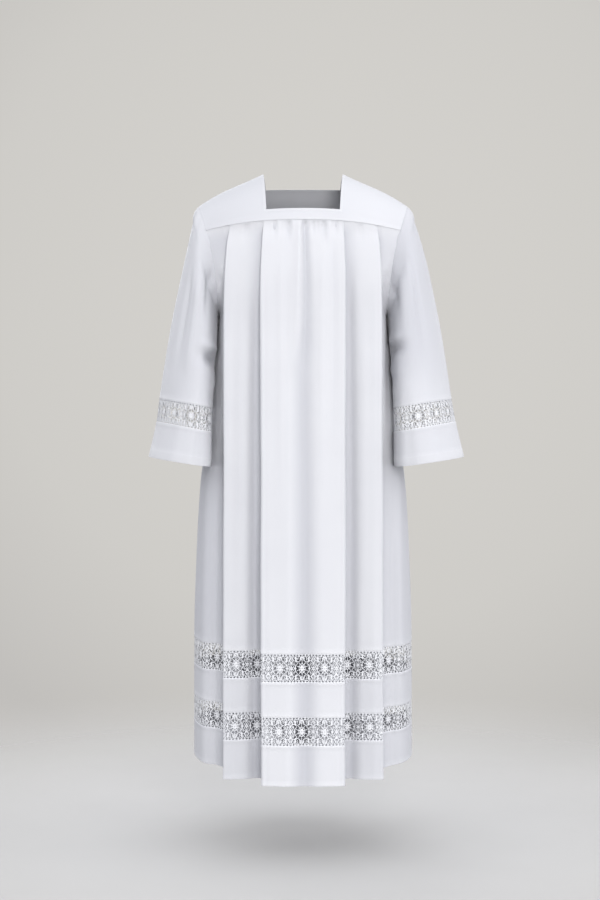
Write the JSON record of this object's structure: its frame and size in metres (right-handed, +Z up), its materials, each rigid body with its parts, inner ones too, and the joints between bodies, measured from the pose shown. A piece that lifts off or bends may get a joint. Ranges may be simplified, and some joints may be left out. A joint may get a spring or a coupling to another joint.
{
  "type": "surplice, long square-yoked, in its worn form",
  "caption": "Long white surplice in its worn form: square yoke, pleated body, bell sleeves and lace insertion round skirt and sleeves, hollow throughout.",
  "frame": {"origin": "middle of the neck opening on the line of the shoulder seams, where the wearer's shoulders hold the garment", "axes": "+Z up, the front faces -Y, the wearer's left is +X"},
  "size_m": [0.689, 0.4374, 1.2986],
  "materials": {
    "cloth": "smooth white plain-weave polyester and viscose cloth with a faint satin sheen, pressed pleats",
    "lace": "white machine-made floral lace on a fine net ground, matt"
  },
  "bodies": {
    "root": {"yoke_front": "cloth", "yoke_back": "cloth", "panel_front": "cloth", "panel_back": "cloth", "band_front": "cloth", "band_back": "cloth", "hem_front": "cloth", "hem_back": "cloth", "sleeve_L": "cloth", "sleeve_R": "cloth", "cuff_L": "cloth", "cuff_R": "cloth", "lace_upper_front": "lace", "lace_upper_back": "lace", "lace_lower_front": "lace", "lace_lower_back": "lace", "sleeve_lace_L": "lace", "sleeve_lace_R": "lace"}
  },
  "joints": []
}
